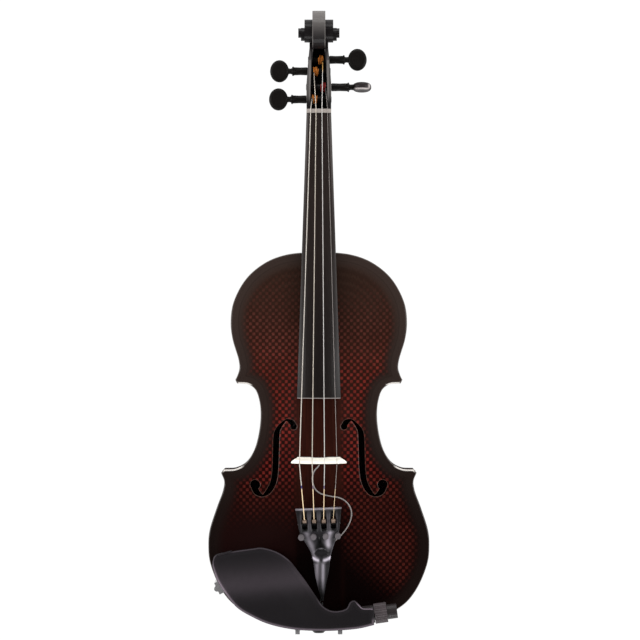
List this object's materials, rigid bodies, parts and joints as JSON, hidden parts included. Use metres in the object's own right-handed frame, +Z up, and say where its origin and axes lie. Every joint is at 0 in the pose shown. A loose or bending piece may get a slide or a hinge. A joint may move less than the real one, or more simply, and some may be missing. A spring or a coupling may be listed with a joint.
{
  "type": "electric violin",
  "caption": "Full-size electric violin lying on its back: dark varnished body, black fingerboard, chin rest and tailpiece with fine tuners, bridge pickup and a jack on the edge.",
  "frame": {"origin": "under the middle of the bounding box, on the floor that the back lies on", "axes": "+X towards the treble side, +Y from the end button to the scroll, +Z up out of the belly"},
  "size_m": [0.2108, 0.5976, 0.0959],
  "materials": {
    "varnish": "thin glossy dark varnish, nearly black at the edges",
    "dark_varnish": "glossy dark varnish on maple",
    "bare_wood": "planed, unvarnished",
    "ebony": "oiled black wood",
    "bone": "polished pale nut",
    "bridge_maple": "sanded pale maple",
    "composite": "satin moulded",
    "chin_black": "matte moulded",
    "steel": "plated",
    "black_metal": "black plated",
    "brassy": "plain",
    "silk": "wrapped thread",
    "red_silk": "wrapped thread",
    "wound": "flat wound",
    "cork": "pressed cork sheet",
    "cord": "grey insulation",
    "tail_cord": "nylon cord"
  },
  "bodies": {
    "violin": {"top_plate": "varnish", "back_plate": "dark_varnish", "rib_upper_left": "dark_varnish", "rib_upper_right": "dark_varnish", "rib_waist_left": "dark_varnish", "rib_waist_right": "dark_varnish", "rib_lower": "dark_varnish", "lining_top": "bare_wood", "lining_back": "bare_wood", "neck_block": "bare_wood", "tail_block": "bare_wood", "corner_block_upper_left": "bare_wood", "corner_block_upper_right": "bare_wood", "corner_block_lower_left": "bare_wood", "corner_block_lower_right": "bare_wood", "bass_bar": "bare_wood", "sound_post": "bare_wood", "neck": "dark_varnish", "fingerboard": "ebony", "nut": "bone", "bridge": "bridge_maple", "pickup_element": "brassy", "pickup_lead": "cord", "tailpiece": "composite", "tuner_axle": "steel", "saddle": "ebony", "tail_cord": "tail_cord", "end_button": "ebony", "chin_rest": "chin_black", "chin_rest_cork": "cork", "clamp_hook_left": "steel", "clamp_hook_right": "steel", "clamp_foot": "steel", "side_clamp": "steel", "jack_bracket": "black_metal", "jack_nut": "black_metal", "jack_socket": "black_metal", "jack_contact": "brassy", "string_g": "wound", "string_d": "wound", "string_a": "wound", "string_e": "wound"},
    "peg_g_turning": {"peg_g": "ebony", "winding_g": "silk"},
    "peg_d_turning": {"peg_d": "ebony", "winding_d": "silk"},
    "peg_a_turning": {"peg_a": "ebony", "winding_a": "silk"},
    "peg_e_turning": {"peg_e": "ebony", "winding_e": "red_silk"},
    "screw_g": {"tuner_screw_g": "black_metal"},
    "lever_g": {"tuner_lever_g": "steel"},
    "screw_d": {"tuner_screw_d": "black_metal"},
    "lever_d": {"tuner_lever_d": "steel"},
    "screw_a": {"tuner_screw_a": "black_metal"},
    "lever_a": {"tuner_lever_a": "steel"},
    "screw_e": {"tuner_screw_e": "black_metal"},
    "lever_e": {"tuner_lever_e": "steel"},
    "barrel_left": {"clamp_barrel_left": "steel"},
    "barrel_right": {"clamp_barrel_right": "steel"}
  },
  "joints": [
    {"name": "peg_g_turn", "type": "hinge", "parent": "violin", "child": "peg_g_turning", "pos_m": [0, 0.2131, 0.0295], "axis": [1, 0, 0], "continuous": true},
    {"name": "peg_d_turn", "type": "hinge", "parent": "violin", "child": "peg_d_turning", "pos_m": [0, 0.2405, 0.0245], "axis": [1, 0, 0], "continuous": true},
    {"name": "peg_a_turn", "type": "hinge", "parent": "violin", "child": "peg_a_turning", "pos_m": [0, 0.2517, 0.0221], "axis": [1, 0, 0], "continuous": true},
    {"name": "peg_e_turn", "type": "hinge", "parent": "violin", "child": "peg_e_turning", "pos_m": [0, 0.2249, 0.0275], "axis": [1, 0, 0], "continuous": true},
    {"name": "tuner_screw_g_turn", "type": "hinge", "parent": "violin", "child": "screw_g", "pos_m": [-0.01675, -0.20372, 0.07184], "axis": [0.0056, -0.1394, 0.9902], "range_deg": [0, 1440]},
    {"name": "tuner_lever_g_tip", "type": "hinge", "parent": "violin", "child": "lever_g", "pos_m": [0.00018, -0.19165, 0.0685], "axis": [0.9992, 0.04, 0], "range_deg": [0, 13]},
    {"name": "tuner_screw_d_turn", "type": "hinge", "parent": "violin", "child": "screw_d", "pos_m": [-0.00516, -0.20325, 0.07184], "axis": [0.0056, -0.1394, 0.9902], "range_deg": [0, 1440]},
    {"name": "tuner_lever_d_tip", "type": "hinge", "parent": "violin", "child": "lever_d", "pos_m": [0.00018, -0.19165, 0.0685], "axis": [0.9992, 0.04, 0], "range_deg": [0, 13]},
    {"name": "tuner_screw_a_turn", "type": "hinge", "parent": "violin", "child": "screw_a", "pos_m": [0.00643, -0.20279, 0.07184], "axis": [0.0056, -0.1394, 0.9902], "range_deg": [0, 1440]},
    {"name": "tuner_lever_a_tip", "type": "hinge", "parent": "violin", "child": "lever_a", "pos_m": [0.00018, -0.19165, 0.0685], "axis": [0.9992, 0.04, 0], "range_deg": [0, 13]},
    {"name": "tuner_screw_e_turn", "type": "hinge", "parent": "violin", "child": "screw_e", "pos_m": [0.01802, -0.20233, 0.07184], "axis": [0.0056, -0.1394, 0.9902], "range_deg": [0, 1440]},
    {"name": "tuner_lever_e_tip", "type": "hinge", "parent": "violin", "child": "lever_e", "pos_m": [0.00018, -0.19165, 0.0685], "axis": [0.9992, 0.04, 0], "range_deg": [0, 13]},
    {"name": "clamp_barrel_left_turn", "type": "hinge", "parent": "violin", "child": "barrel_left", "pos_m": [-0.0202, -0.2939, 0.0305], "axis": [0, 0, 1], "continuous": true},
    {"name": "clamp_barrel_right_turn", "type": "hinge", "parent": "violin", "child": "barrel_right", "pos_m": [0.0202, -0.2939, 0.0305], "axis": [0, 0, 1], "continuous": true}
  ],
  "couplings": [
    {"joint": "tuner_lever_g_tip", "follows": "tuner_screw_g_turn", "ratio": 0.008681},
    {"joint": "tuner_lever_d_tip", "follows": "tuner_screw_d_turn", "ratio": 0.008681},
    {"joint": "tuner_lever_a_tip", "follows": "tuner_screw_a_turn", "ratio": 0.008681},
    {"joint": "tuner_lever_e_tip", "follows": "tuner_screw_e_turn", "ratio": 0.008681}
  ]
}
